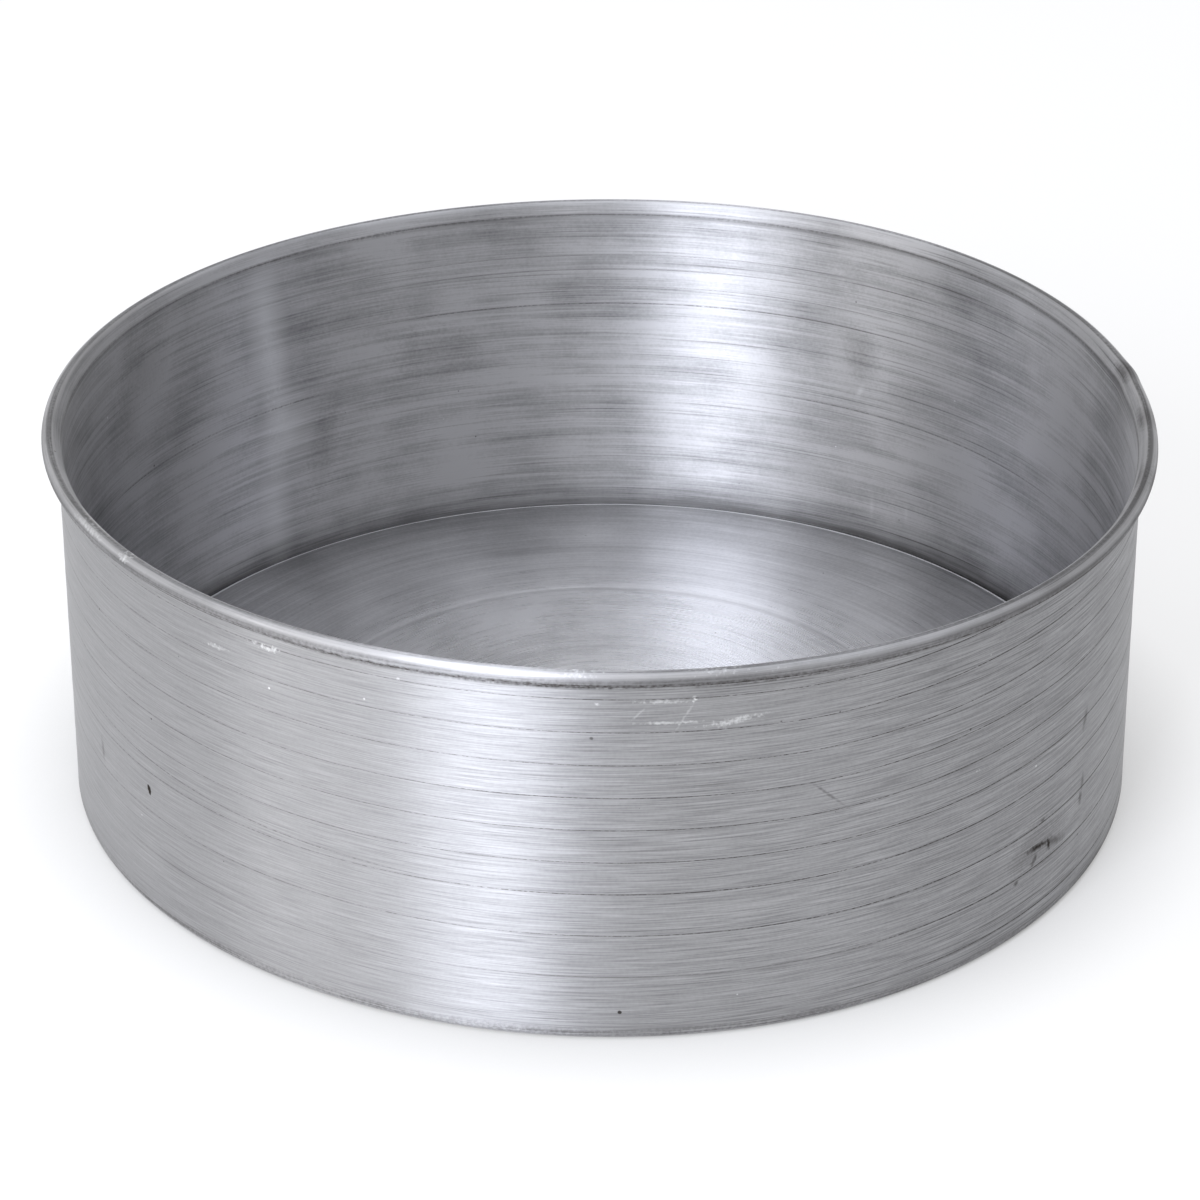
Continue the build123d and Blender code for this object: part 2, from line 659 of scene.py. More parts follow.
@dataclass(frozen=True)
class Mark:
    """A smudge, speck, scratch or painted reflection on a face of the wall: its kind, middle, size, tilt and
    strength.
    """

    side: Side
    kind: MarkKind
    azimuth: float
    height_mm: float
    tall_mm: float
    wide_mm: float
    tilt: float
    strength: float
    soft: float

    @classmethod
    def group(cls, side: Side, kind: MarkKind, *rows: tuple[float, ...]) -> list["Mark"]:
        """Makes marks of one kind on one face, from rows that hold the fields from azimuth on."""
        return [cls(side, kind, *row) for row in rows]

    def drawn(self, ground: Ground, grain: Socket) -> tuple[Socket, Socket]:
        """Draws the mark.

        Args:
            ground: what the sheet's patterns are drawn on.
            grain: noise that makes the mark's edge uneven.

        Returns:
            The mark, from zero to its strength, and the value that is one on its face.
        """
        turn = math.radians(self.azimuth)
        frame_of_mark = {
            "Vector": ground.place,
            "Location": (WALL_RADIUS * math.cos(turn), WALL_RADIUS * math.sin(turn), self.height_mm * MM),
            "Rotation": (math.radians(self.tilt), 0.0, turn),
            "Scale": (MARK_REACH, self.wide_mm * MM / 2, self.tall_mm * MM / 2),
        }
        local = add_node(ground.tree, "ShaderNodeMapping", frame_of_mark, vector_type="TEXTURE")
        far = add_node(ground.tree, VECTOR, [local], "LENGTH").node.outputs["Value"]
        uneven = add_node(ground.tree, MATH, [far, grain], "ADD")
        edge = [uneven, 1.0 - self.soft, 1.0 + self.soft, self.strength, 0.0]
        return add_node(ground.tree, RANGE, edge), ground.face(self.side)


@dataclass(frozen=True)
class SpunAluminium:
    """Aluminium sheet as the spinning tool and years of scouring leave it.

    The eye sees a grey metal whose hair-fine rings stretch each reflection across them, cloudy
    patches of oxide, small pits, and brown dirt where it collects. The dark dirt colour also lays
    painted shade in corners, creases and under the rim, the wear value paints highlight and shade,
    and the lighter patch marks paint a reflection.
    """

    name: str
    clean: str = "#c9c9cc"
    oxide: str = "#8a8a8c"
    # The dark dirt colour, also laid as painted shade in corners, creases and under the rim.
    grime: str = "#3a3431"
    # The bare-metal colour of nicks and scrapes, also laid on lighter patches as a painted reflection.
    nick: str = "#f0f1f3"
    layers: tuple[Hairlines, ...] = (
        Hairlines(0.22, 12.0, 1.6, 0.9, 1.0),
        Hairlines(0.45, 60.0, 0.45, 0.75, 0.8),
        Hairlines(1.3, 60.0, 0.12, 0.7, 0.4),
        Hairlines(5.0, 40.0, 0.05, 0.8, 0.0),
    )
    drift_mm: float = 4.0
    drift_waves: float = 7.0
    line_depth_mm: float = 0.004
    patch_mm: float = 24.0
    patch_outside: float = 0.2
    patch_inside: float = 1.4
    speck_mm: float = 0.9
    mottle_outside: float = 0.3
    mottle_inside: float = 0.45
    middle_tone: float = 0.5
    wear_and_light_gain: float = 0.5
    calm_mm: tuple[float, float] = (-60.0, 60.0)
    left_calm: float = 0.55
    soil_mm: tuple[float, float] = (50.0, 120.0)
    right_grime: float = 0.35
    # How much darker the outside is made towards the tin's right.
    right_darkening: float = -0.5
    grime_and_shade_level: float = 0.42
    grime_and_shade_spread: tuple[float, ...] = (1.8, 2.6, 1.2, 1.0)  # specks, second lines, patches, soil
    scratch_strength: float = 0.4
    scratch_range: tuple[float, float] = (-0.30, -0.18)
    roughness: float = 0.56
    rough_gains: tuple[float, ...] = (0.14, 0.10, 0.12, -0.08)  # first lines, patches, dirt, wear
    outer_polish: float = -0.10
    polish_range: tuple[float, float] = (0.7, 1.0)
    worn_polish: float = -0.12
    scuff_range: tuple[float, float] = (1.0, 1.4)
    scuff_roughness: float = 0.35
    anisotropy: float = 0.93
    pit_mm: float = 4.6
    pit_luck: float = 0.8
    pit_size: float = 0.095
    pit_edge: float = 1.6
    nick_share: float = 0.45
    pit_dirt: float = 0.7
    pit_relief: float = -3.0
    cut_relief: float = -2.0
    dash_fade_mm: float = 40.0
    dash_level: float = 0.65
    dash_gains: tuple[float, ...] = (2.6, 1.2, 0.6)  # specks, the slow fade, soil
    mark_edge: tuple[float, ...] = (1.0, 1.1)  # patches, specks
    dot_level: float = 0.4
    dot_gain: float = 3.4
    grooves: FeedGrooves | None = None
    scores: tuple[Score, ...] = ()
    marks: tuple[Mark, ...] = ()

    def material(self) -> bpy.types.Material:
        """Builds the node material.

        Returns:
            The material.
        """
        made = empty_material(self.name)
        tree = made.node_tree
        add = partial(add_node, tree)
        ground = Ground(tree, self)
        patch, speck, worn, outward = ground.patch, ground.speck, ground.worn, ground.outward
        lines = self._lines(ground)
        first, second = lines[0][0], lines[1][0]
        tones = [(line, ground.by_face(layer.inside, layer.outside)) for line, layer in lines]
        tones.append((patch, ground.by_face(self.patch_inside, self.patch_outside)))
        tones.append((speck, ground.by_face(self.mottle_inside, self.mottle_outside)))
        tone = ground.total(tones, clamp=False)
        gain = ground.by_face(1.0, ground.flank)
        # The outside is made darker towards the tin's right.
        darker_right = add(MATH, [ground.soil, outward], "MULTIPLY")
        # The wear value lightens and darkens the metal: real wear, and painted highlight and shade.
        shares = [(tone, gain), (worn, self.wear_and_light_gain), (darker_right, self.right_darkening)]
        shine = ground.total(shares, self.middle_tone)

        cuts = self._cuts(ground)
        stains, scrapes_and_reflections = self._smudges(ground)
        dark, bright = self._pits(ground)
        spread = ground.total(zip((speck, second, patch, ground.soil), self.grime_and_shade_spread), self.grime_and_shade_level)
        scratch = add(RANGE, [second, *self.scratch_range, 1.0, 0.0])
        scratched = add(MATH, [ground.flank, self.scratch_strength], "MULTIPLY")
        # The dirt value also lays painted shade.
        dirt = [(ground.grime, spread), (scratch, scratched), *cuts, *stains, (dark, self.pit_dirt)]
        soiled_and_shaded = ground.total(dirt)
        # The bright marks include the painted reflections.
        scraped_and_reflected = ground.total([*scrapes_and_reflections, (bright, 1.0)])
        tint: Any = colour(self.oxide)
        for share, code in ((shine, self.clean), (scraped_and_reflected, self.nick), (soiled_and_shaded, self.grime)):
            tint = add(MIX, {SHARE: share, FIRST: tint, SECOND: colour(code)}, data_type="RGBA")

        polish = add(RANGE, [worn, *self.polish_range, 0.0, self.worn_polish])
        scuffed = add(RANGE, [worn, *self.scuff_range, 0.0, self.scuff_roughness])
        faces = [(polish, 1.0), (scuffed, 1.0), (outward, self.outer_polish)]
        wear = [*zip((first, patch, soiled_and_shaded, worn), self.rough_gains), *faces]
        relief = [(line, layer.relief) for line, layer in lines]
        relief += [(cut, self.cut_relief) for cut, _ in cuts]
        height = ground.total([*relief, (dark, self.pit_relief)], clamp=False)
        depth = {"Strength": 1.0, "Distance": self.line_depth_mm * MM, "Height": height}
        finish = {
            "Base Color": tint,
            "Metallic": 1.0,
            "Roughness": ground.total(wear, self.roughness),
            "Anisotropic": self.anisotropy,
            "Anisotropic Rotation": 0.25,
            "Tangent": add(VECTOR, [(0.0, 0.0, 1.0), ground.place], "CROSS_PRODUCT"),
            "Normal": add("ShaderNodeBump", depth),
        }
        shader = add("ShaderNodeBsdfPrincipled", finish)
        add("ShaderNodeOutputMaterial", [shader])
        return made

    def _lines(self, ground: Ground) -> list[tuple[Socket, Hairlines]]:
        """Draws each layer's noise, long round the tin and narrow across the rings.

        Args:
            ground: what the patterns are drawn on.

        Returns:
            Each layer's noise, about nought, with the layer.
        """
        add = partial(add_node, ground.tree)
        slow = add(NOISE, {"Vector": ground.place, "Scale": self.drift_waves, "Detail": 0.0})
        across = add(MATH, [slow, self.drift_mm * MM, ground.along], "MULTIPLY_ADD")
        drawn = []
        for layer in self.layers:
            spans = (layer.length_mm, layer.length_mm, layer.width_mm)
            scaled = [
                add(MATH, [part, 1 / (span * MM)], "MULTIPLY")
                for part, span in zip((ground.parts["X"], ground.parts["Y"], across), spans)
            ]
            joined = add("ShaderNodeCombineXYZ", scaled)
            drawn.append((ground.noise(joined, 1 / MM, 1.0), layer))
        return drawn

    def _pits(self, ground: Ground) -> tuple[Socket, Socket]:
        """Draws scattered small pits and nicks of uneven size.

        Args:
            ground: what the patterns are drawn on.

        Returns:
            How far each place is inside a dark pit, and inside a bright nick.
        """
        add = partial(add_node, ground.tree)
        spacing = {"Vector": ground.place, "Scale": 1 / (self.pit_mm * MM)}
        cells = add("ShaderNodeTexVoronoi", spacing).node.outputs
        luck = add("ShaderNodeSeparateColor", [cells["Color"]]).node.outputs
        size = add(RANGE, [luck["Red"], self.pit_luck, 1.0, 0.0, self.pit_size])
        found = add(RANGE, [cells["Distance"], 0.0, size, self.pit_edge, 0.0])
        kind = add(MATH, [luck["Green"], self.nick_share], "GREATER_THAN")
        dark = add(MATH, [found, kind], "MULTIPLY", use_clamp=True)
        bright = add(MATH, [found, dark], "SUBTRACT", use_clamp=True)
        return dark, bright

    def _cuts(self, ground: Ground) -> list[tuple[Socket, float]]:
        """Draws the feed grooves and the long scores, broken into dashes.

        Args:
            ground: what the patterns are drawn on.

        Returns:
            Each cut, from zero to one, with how dark it is.
        """
        tree = ground.tree
        fade = ground.noise(ground.place, self.dash_fade_mm, 2.0)
        dashes = ground.total(zip((ground.speck, fade, ground.soil), self.dash_gains), self.dash_level)
        cuts = []
        if self.grooves is not None:
            cuts.append((self.grooves.drawn(ground), ground.outward, self.grooves.strength))
        for score in self.scores:
            cuts.append((score.drawn(ground), ground.face(score.side), score.strength))
        found = []
        for line, face, strength in cuts:
            placed = add_node(tree, MATH, [line, face], "MULTIPLY")
            found.append((add_node(tree, MATH, [placed, dashes], "MULTIPLY"), strength))
        return found

    def _smudges(self, ground: Ground) -> tuple[list[tuple[Socket, Socket]], list[tuple[Socket, Socket]]]:
        """Draws the single marks.

        Args:
            ground: what the patterns are drawn on.

        Returns:
            The dark marks and the bright ones, which include the painted reflections, each with the value
            that is one on its face.
        """
        ragged = ground.total(zip((ground.patch, ground.speck), self.mark_edge), clamp=False)
        dotted = ground.total([(ground.speck, self.dot_gain)], self.dot_level, clamp=False)
        dark, bright = [], []
        for mark in self.marks:
            grain = dotted if mark.kind is MarkKind.SCRAPE else ragged
            drawn = bright if mark.kind is not MarkKind.STAIN else dark
            drawn.append(mark.drawn(ground, grain))
        return dark, bright


@dataclass
class TinWall:
    """One spun sheet: the lip, the straight wall, the neck and the rim rolled round its wire."""

    lathe: Lathe
    finish: bpy.types.Material
    reach: float
    height: float
    shape: OutOfRound = field(default_factory=OutOfRound)
    sheet: float = 1.0 * MM
    corner_bend: float = 1.2 * MM
    lip_width: float = 9.0 * MM
    neck_rise: float = 1.4 * MM
    wire_diameter: float = 1.8 * MM
    wire_clearance: float = 0.1 * MM
    curl_end_gap: float = 0.6 * MM
    tool_wave: float = 0.012 * MM
    tool_pitches: tuple[float, float, float] = (9.7 * MM, 6.1 * MM, 15.3 * MM)
    segments: int = 384

    @property
    def bead(self) -> float:
        """The rolled rim's outer radius in section."""
        return self.wire_diameter / 2 + self.wire_clearance + self.sheet

    @property
    def radius(self) -> float:
        """The wall's outer radius."""
        return self.reach - 2 * self.bead

    @property
    def bead_centre(self) -> Point:
        """The middle of the rolled rim's section."""
        return (self.radius + self.bead, self.height - self.bead)

    def tool_mark(self, height: float) -> float:
        """How far the spinning tool left the wall proud at a height."""
        waves = (math.sin(2 * math.pi * height / pitch) for pitch in self.tool_pitches)
        return self.tool_wave * sum(waves)

    def outline(self) -> Outline:
        """Draws the sheet's closed outline, from the lip's edge up inside, round the rim and back.

        Returns:
            The outline.
        """
        bore = self.radius - self.sheet
        centre = self.bead_centre
        roll = self.bead - self.sheet
        corner = self.corner_bend + self.sheet
        corner_at = (self.radius - corner, corner)
        reach = centre[0] - bore
        lean = 90.0 - math.degrees(math.atan2(self.neck_rise, reach))
        lean -= math.degrees(math.asin(self.bead / math.hypot(reach, self.neck_rise)))
        crease_in = centre[1] - self.neck_rise
        crease_out = crease_in - self.sheet * math.tan(math.radians(lean / 2))
        start = 180.0 - lean
        end = math.degrees(math.acos(1 - self.curl_end_gap / self.bead)) - 180.0
        sweep = start - end
        edge = self.sheet / 2
        lip = self.radius - self.lip_width
        around = arc(centre, self.bead, start, -sweep, 30)
        within = arc(centre, roll, end, sweep, 18)
        inside = [(r + self.tool_mark(z), z) for r, z in run((bore, corner), (bore, crease_in), 74)]
        neck = run((bore, crease_in), around[0], 4)
        outside = [
            (r + self.tool_mark(z), z) for r, z in run((self.radius, crease_out), (self.radius, corner), 74)
        ]
        stretches = [
            Stretch(run((lip + edge, self.sheet), (corner_at[0], self.sheet), 5)),
            # Painted shade: the inside corner and the lowest part of the inside wall are darkened smoothly,
            # with some dirt in the corner itself.
            Stretch(arc(corner_at, self.corner_bend, -90.0, 90.0, 5), worn=(-1.0, -0.9), grime=(0.8, 0.8)),
            Stretch(inside[:4], worn=(-0.9, -0.5), grime=(0.8, 0.1)),
            Stretch(inside[3:11], worn=(-0.5, 0.6), grime=(0.1, 0.0)),
            Stretch(inside[10:-1], worn=(0.6, 0.5)),
            # Darker along the crease inside, under the rim.
            Stretch(inside[-2:], worn=(0.5, 0.2), grime=(0.0, 0.6)),
            Stretch(neck[:2], worn=(0.2, 0.6), grime=(0.6, 0.05)),
            Stretch(neck[1:], worn=(0.6, 0.5), grime=(0.05, 0.05)),
            # Round the rolled rim: darker over its top with dirt; lighter along its upper outer side, a
            # painted highlight that is partly polish from handling; darker down its outer side and
            # underneath, painted shade that is partly dirt.
            Stretch(around[:5], worn=(0.5, 0.8), grime=(0.05, 0.1)),
            Stretch(around[4:6], worn=(0.8, 0.2), grime=(0.1, 0.55)),
            Stretch(around[5:9], worn=(0.2, 0.2), grime=(0.55, 0.45)),
            Stretch(around[8:10], worn=(0.2, 0.85), grime=(0.45, 0.05)),
            Stretch(around[9:13], worn=(0.85, 0.85), grime=(0.05, 0.08)),
            Stretch(around[12:16], worn=(0.85, 0.0), grime=(0.08, 0.45)),
            Stretch(around[15:18], worn=(0.0, 0.0), grime=(0.45, 0.5)),
            Stretch(around[17:21], worn=(0.0, -0.5), grime=(0.5, 1.2)),
            Stretch(around[20:22], worn=(-0.5, -0.5), grime=(1.2, 1.2)),
            Stretch(around[21:], worn=(0.0, -0.5), grime=(1.2, 1.2)),
            # Painted shade in the gap under the rolled rim, partly dirt: the hidden curl and the wall just
            # beneath it are darkened, fading out just below.
            Stretch(within, grime=(1.0, 1.0)),
            Stretch(run(within[-1], (self.radius, crease_out), 3), 1.0, grime=(1.3, 1.3)),
            Stretch(run((self.radius, crease_out), (self.radius, 96.2 * MM), 2), 1.0, grime=(1.3, 1.2)),
            Stretch(run((self.radius, 96.2 * MM), (self.radius, 95.2 * MM), 2), 1.0, grime=(1.2, 0.0)),
            Stretch([p for p in outside[:-2] if p[1] < 95.0 * MM], 1.0, worn=(-0.1, -0.1)),
            # Darker round the outside foot: dirt along the edge, with painted shade where the wall meets the
            # floor.
            Stretch(outside[-3:], 1.0, grime=(0.0, 0.5)),
            Stretch(arc(corner_at, corner, 0.0, -90.0, 7), 1.0, grime=(0.6, 0.3)),
            Stretch(run((corner_at[0], 0.0), (lip + edge, 0.0), 5)),
            Stretch(arc((lip + edge, edge), edge, -90.0, -180.0, 6)),
        ]
        return Outline.joined(stretches)

    def build(self) -> bpy.types.Object:
        """Turns the wall.

        Returns:
            The finished piece.
        """
        piece = self.lathe.turn(
            "spun_wall_piece", self.outline(), self.finish, self.segments, self.shape, self.bead_centre[1]
        )
        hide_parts("tin_wall")
        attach(piece, "tin")
        return piece


@dataclass
class RimWire:
    """The steel wire inside the rim, with its butt joint."""

    lathe: Lathe
    finish: bpy.types.Material
    wall: TinWall
    joint_gap: float = 0.5 * MM
    joint_azimuth: float = 16.0

    def build(self) -> bpy.types.Object:
        """Turns the wire inside the rolled rim.

        Returns:
            The finished piece.
        """
        centre = self.wall.bead_centre
        gap = math.degrees(self.joint_gap / centre[0])
        section = Outline.joined([Stretch(arc(centre, self.wall.wire_diameter / 2, 0.0, FULL_TURN, 12))])
        piece = self.lathe.turn(
            "rim_wire_piece",
            section,
            self.finish,
            self.wall.segments,
            self.wall.shape,
            centre[1],
            start=self.joint_azimuth + gap / 2,
            sweep=FULL_TURN - gap,
        )
        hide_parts("rim_wire")
        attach(piece, "tin")
        return piece


@dataclass
class LooseBase:
    """The pressed disc that stands on the lip and lifts out."""

    lathe: Lathe
    finish: bpy.types.Material
    radius: float
    foot: float
    top: float
    sheet: float = 1.2 * MM
    edge_bend: float = 1.2 * MM
    ring_diameter: float = 163.0 * MM
    ring_half_width: float = 1.9 * MM
    ring_depth: float = 0.11 * MM
    segments: int = 384

    def outline(self) -> Outline:
        """Draws the disc's closed outline, from its middle over the top and back underneath.

        Returns:
            The outline.
        """
        edge = self.edge_bend + self.sheet
        turn_at = (self.radius - edge, self.top - edge)
        under = self.top - self.sheet
        ring = self.ring_diameter / 2
        dip = [
            (ring + s * self.ring_half_width, self.top - self.ring_depth * (1 + math.cos(math.pi * s)) / 2)
            for s in (i / 6 for i in range(-6, 7))
        ]
        bend = arc(turn_at, edge, 90.0, -90.0, 10)
        inner = self.radius - self.sheet
        stretches = [
            # The disc is lighter in its middle and darker in the pressed ring and towards its edge: partly
            # wear and dirt, partly painted shade.
            Stretch(run((0.0, self.top), dip[0], 24), worn=(1.0, 0.85)),
            Stretch(dip[:7], worn=(0.85, 0.2)),
            Stretch(dip[6:], worn=(0.2, 0.8)),
            Stretch(run(dip[-1], (turn_at[0], self.top), 18), worn=(0.8, -0.5)),
            # Its rounded edge is lighter, a painted highlight that is partly a scuffed line; its side, down
            # in the gap, is darkened with painted shade.
            Stretch(bend[:2], worn=(-0.2, 1.4)),
            Stretch(bend[1:5], worn=(1.4, 1.4)),
            Stretch(bend[4:], worn=(1.4, 0.0), grime=(0.0, 1.0)),
            Stretch(run((self.radius, turn_at[1]), (self.radius, self.foot), 3), grime=(0.8, 0.8)),
            Stretch([(inner, self.foot)]),
            Stretch(run((inner, self.foot), (inner, turn_at[1]), 3)),
            Stretch(arc(turn_at, self.edge_bend, 0.0, 90.0, 6)),
            Stretch(run((turn_at[0], under), (0.0, under), 30)),
        ]
        return Outline.joined(stretches)

    def build(self) -> bpy.types.Object:
        """Turns the disc.

        Returns:
            The finished piece.
        """
        piece = self.lathe.turn(
            "loose_base_piece", self.outline(), self.finish, self.segments, TRUE_ROUND, self.top
        )
        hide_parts("loose_base")
        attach(piece, "base")
        return piece


@dataclass(frozen=True)
class Softbox:
    """A soft lamp that faces the tin."""

    name: str
    azimuth: float
    elevation: float
    distance: float
    width: float
    height: float
    watts: float
    tint: str = "#ffffff"

    def build(self) -> None:
        """Hangs the lamp, facing the tin."""
        lamp = bpy.data.lights.new(self.name, "AREA")
        lamp.shape = "RECTANGLE"
        lamp.size = self.width
        lamp.size_y = self.height
        lamp.energy = self.watts
        lamp.color = colour(self.tint)[:3]
        turn, rise = math.radians(self.azimuth), math.radians(self.elevation)
        away = Vector((math.cos(turn) * math.cos(rise), math.sin(turn) * math.cos(rise), math.sin(rise)))
        scene_object(self.name, lamp).matrix_world = aimed(away * self.distance, -away)


@dataclass(frozen=True)
class Studio:
    """A plain pale floor, soft lamps, a pale room and the camera at the photograph's angle."""

    floor_start: float = 0.2
    floor_radius: float = 6.0
    floor_turn_up: float = 1.2
    floor_segments: int = 96
    floor_colour: str = "#a6a6a6"
    floor_glow: float = 0.60
    contact_reach: float = 30.0 * MM
    contact_share: float = 0.65
    room_level: float = 0.45
    camera_distance: float = 1.0808
    camera_elevation: float = 29.9
    camera_aim: tuple[float, float, float] = (-0.4 * MM, 0.0, 45.0 * MM)
    camera_roll: float = -0.27
    camera_lens: float = 120.0
    camera_sensor: float = 36.0
    softboxes: tuple[Softbox, ...] = (
        Softbox("key_softbox", -115.0, 28.0, 1.6, 0.58, 0.9, 18.6, "#f2f6ff"),
        Softbox("left_softbox", 180.0, 20.0, 2.0, 2.0, 1.0, 5.7),
        Softbox("front_left_softbox", -145.0, 20.0, 2.0, 1.4, 1.0, 11.0),
        Softbox("front_softbox", -87.0, 35.0, 1.6, 0.5, 0.9, 1.3),
        Softbox("front_right_softbox", -55.0, 20.0, 2.0, 1.6, 1.0, 2.0),
        Softbox("back_left_softbox", 130.0, 20.0, 2.0, 2.0, 1.0, 2.2),
        Softbox("back_softbox", 90.0, 40.0, 2.0, 1.6, 1.0, 1.4),
        Softbox("overhead_softbox", 90.0, 84.0, 1.6, 2.2, 2.2, 15.0, "#f3f6ff"),
    )

    def build(self) -> None:
        """Sets up the floor, the room, the lamps and the camera."""
        self._floor()
        self._room()
        for softbox in self.softboxes:
            softbox.build()
        self._camera()
        bpy.context.scene.view_settings.view_transform = "Standard"

    def _floor(self) -> None:
        """Lays the floor: round paper that turns up far away and looks white but for the shadow, with a
        painted contact shadow where ambient occlusion dims its glow.
        """
        rise, count = self.floor_turn_up, self.floor_segments
        turn_up = arc((self.floor_radius, rise), rise, -90.0, 90.0, 12)
        ring = run((self.floor_start, 0.0), (self.floor_radius, 0.0), 6) + turn_up[1:]
        turns = [math.tau * i / count for i in range(count)]
        spots = [(0.0, 0.0, 0.0)] + [(r * math.cos(a), r * math.sin(a), z) for r, z in ring for a in turns]
        faces = [(0, 1 + i, 1 + (i + 1) % count) for i in range(count)]
        for near in range(1, 1 + count * (len(ring) - 1), count):
            pairs = [(near + i, near + (i + 1) % count) for i in range(count)]
            faces += [(a, a + count, b + count, b) for a, b in pairs]
        mesh = bpy.data.meshes.new("floor")
        mesh.from_pydata(spots, [], faces)
        paper = empty_material("matt_paper")
        tree = paper.node_tree
        add = partial(add_node, tree)
        sheet = add("ShaderNodeBsdfDiffuse", [colour(self.floor_colour)])
        # Ambient occlusion dims the glow near the tin: a painted contact shadow.
        open_sky = add("ShaderNodeAmbientOcclusion", {"Distance": self.contact_reach}, samples=8)
        lost = self.floor_glow * self.contact_share
        shares = [open_sky.node.outputs["AO"], lost, self.floor_glow - lost]
        level = add(MATH, shares, "MULTIPLY_ADD")
        glow = add("ShaderNodeEmission", [colour("#ffffff"), level])
        lit = add("ShaderNodeAddShader", [sheet, glow])
        shown = add("ShaderNodeMixShader", [self._seen(tree), sheet, lit])
        add("ShaderNodeOutputMaterial", [shown])
        mesh.materials.append(paper)
        scene_object("floor", mesh)

    @staticmethod
    def _seen(tree: Tree) -> Socket:
        """Tells rays that show the background, straight or by reflection, from those that light.

        Args:
            tree: the tree that asks.

        Returns:
            One for camera, glossy and transmission rays, and zero for others.
        """
        path = add_node(tree, "ShaderNodeLightPath").node.outputs
        near = add_node(tree, MATH, [path["Is Camera Ray"], path["Is Glossy Ray"]], "MAXIMUM")
        return add_node(tree, MATH, [near, path["Is Transmission Ray"]], "MAXIMUM")

    def _room(self) -> None:
        """Makes the room: one plain level of light from all round."""
        world = bpy.data.worlds.new("room")
        bpy.context.scene.world = world
        world.use_nodes = True
        tree = world.node_tree
        tree.nodes.clear()
        light = add_node(tree, "ShaderNodeBackground", [colour("#ffffff"), self.room_level])
        add_node(tree, "ShaderNodeOutputWorld", [light])

    def _camera(self) -> None:
        """Places the camera."""
        lens = bpy.data.cameras.new("photo_camera")
        lens.lens = self.camera_lens
        lens.sensor_width = self.camera_sensor
        rise = math.radians(self.camera_elevation)
        place = Vector((0.0, -math.cos(rise), math.sin(rise))) * self.camera_distance
        roll = Matrix.Rotation(math.radians(self.camera_roll), 4, "Z")
        camera = scene_object("photo_camera", lens)
        camera.matrix_world = aimed(place, Vector(self.camera_aim) - place) @ roll
        bpy.context.scene.camera = camera


@dataclass(frozen=True)
class DrawnSteel:
    """Drawn steel wire: a darker, plainer grey than the sheet, with faint mottling."""

    name: str = "drawn_steel_wire"
    dull: str = "#8f8f8e"
    bright: str = "#b4b4b2"
    mottle_mm: float = 2.5
    mottle_range: tuple[float, float] = (0.3, 0.7)
    roughness: tuple[float, float] = (0.30, 0.50)

    def material(self) -> bpy.types.Material:
        """Builds the node material.

        Returns:
            The material.
        """
        made = empty_material(self.name)
        add = partial(add_node, made.node_tree)
        place = add("ShaderNodeTexCoord").node.outputs["Object"]
        spots = add(NOISE, {"Vector": place, "Scale": 1 / (self.mottle_mm * MM)})
        rough = add(RANGE, [spots, *self.mottle_range, *self.roughness])
        ends = {SHARE: spots, FIRST: colour(self.dull), SECOND: colour(self.bright)}
        tint = add(MIX, ends, data_type="RGBA")
        finish = {"Base Color": tint, "Metallic": 1.0, "Roughness": rough}
        shader = add("ShaderNodeBsdfPrincipled", finish)
        add("ShaderNodeOutputMaterial", [shader])
        return made


# Each row gives width and length in mm, strength outside and inside, and relief.
DISC_LINES = (
    Hairlines(0.25, 14.0, 0.4, 0.4, 0.6),
    Hairlines(0.6, 60.0, 0.3, 0.3, 0.5),
    Hairlines(2.2, 90.0, 0.3, 0.3, 0.2),
    Hairlines(9.0, 90.0, 0.3, 0.3, 0.0),
)
WALL_SCORES = (
    Score(Side.INSIDE, 70.2, 83.0, 44.0, width_mm=0.5, strength=0.55),
    Score(Side.INSIDE, 75.5, 74.0, 30.0, strength=0.4),
    Score(Side.INSIDE, 81.0, 88.0, 40.0, strength=0.35),
    Score(Side.INSIDE, 85.5, 92.0, 44.0, strength=0.35),
    Score(Side.INSIDE, 53.0, 143.0, 24.0, width_mm=0.6, strength=0.5),
    Score(Side.INSIDE, 44.5, 48.0, 26.0, width_mm=0.6, strength=0.5),
    Score(Side.OUTSIDE, 43.7, -134.0, 32.0, climb_mm=-5.4, strength=0.5),
)
